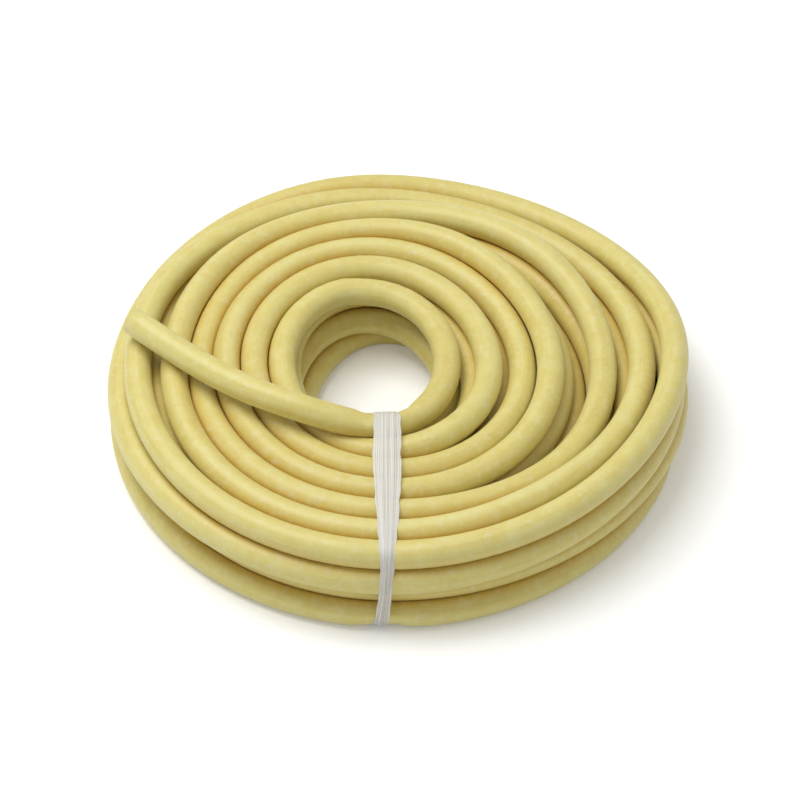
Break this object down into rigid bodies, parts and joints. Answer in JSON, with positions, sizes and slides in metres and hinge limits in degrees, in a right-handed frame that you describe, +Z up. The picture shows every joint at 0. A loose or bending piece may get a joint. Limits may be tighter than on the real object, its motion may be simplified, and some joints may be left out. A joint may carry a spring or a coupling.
{
  "type": "rubber tubing coil",
  "caption": "Flat round coil of soft latex laboratory tubing with an off-centre hole and a loose end lying across its top, bound at the front with a strip of film.",
  "frame": {"origin": "middle of the coil's outermost turns, on the surface it lies on", "axes": "+Z up out of the flat coil, -Y towards the binding strip, -X towards the loose end"},
  "size_m": [0.189, 0.189, 0.0429],
  "materials": {
    "latex_tube": "matt, soft, faintly powdered natural latex",
    "tie_film": "gathered split film, satin with fine lengthwise streaks"
  },
  "bodies": {
    "root": {"tubing_coil": "latex_tube", "free_end": "latex_tube", "cut_tip": "latex_tube", "binding_strip": "tie_film"}
  },
  "joints": []
}
